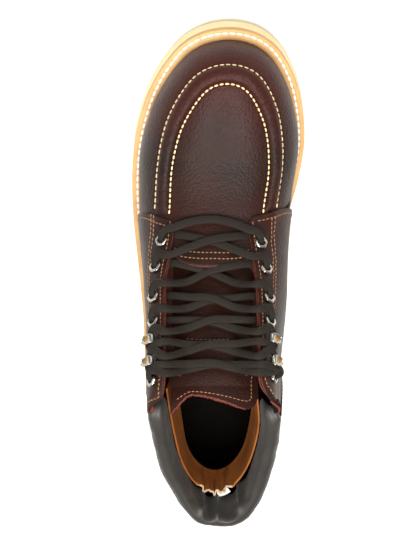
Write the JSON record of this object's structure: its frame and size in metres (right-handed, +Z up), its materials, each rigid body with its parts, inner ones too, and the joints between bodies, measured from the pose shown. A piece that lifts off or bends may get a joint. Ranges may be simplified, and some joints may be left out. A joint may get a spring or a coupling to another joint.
{
  "type": "lace-up work boot",
  "caption": "Ankle-high leather work boot with a moccasin toe, lace-up throat, padded collar and a light wedge sole, for the left foot.",
  "frame": {"origin": "on the ground in the middle of the boot's bounding box", "axes": "+Z up, the toe points along -Y, +X is the outer side of the left foot"},
  "size_m": [0.1121, 0.3001, 0.1825],
  "materials": {
    "cream_rubber": "matt moulded crepe rubber",
    "tan_rubber": "matt rubber sheet",
    "welt_leather": "smooth natural leather",
    "footbed": "matt lining cloth",
    "oiled_leather": "oiled full-grain leather, satin",
    "collar_leather": "soft padded leather, matt",
    "nickel": "nickel plated",
    "braid": "flat woven braid"
  },
  "bodies": {
    "root": {"outsole": "cream_rubber", "midsole": "tan_rubber", "welt": "welt_leather", "insole": "footbed", "upper": "oiled_leather", "seam_roll": "oiled_leather", "quarter_outer": "oiled_leather", "quarter_inner": "oiled_leather", "heel_counter": "oiled_leather", "collar": "collar_leather", "tongue": "oiled_leather", "eyelet_outer_1": "nickel", "eyelet_outer_2": "nickel", "eyelet_outer_3": "nickel", "eyelet_outer_4": "nickel", "hook_outer_5": "nickel", "hook_outer_6": "nickel", "eyelet_outer_7": "nickel", "eyelet_inner_1": "nickel", "eyelet_inner_2": "nickel", "eyelet_inner_3": "nickel", "eyelet_inner_4": "nickel", "hook_inner_5": "nickel", "hook_inner_6": "nickel", "eyelet_inner_7": "nickel", "lace": "braid"}
  },
  "joints": []
}
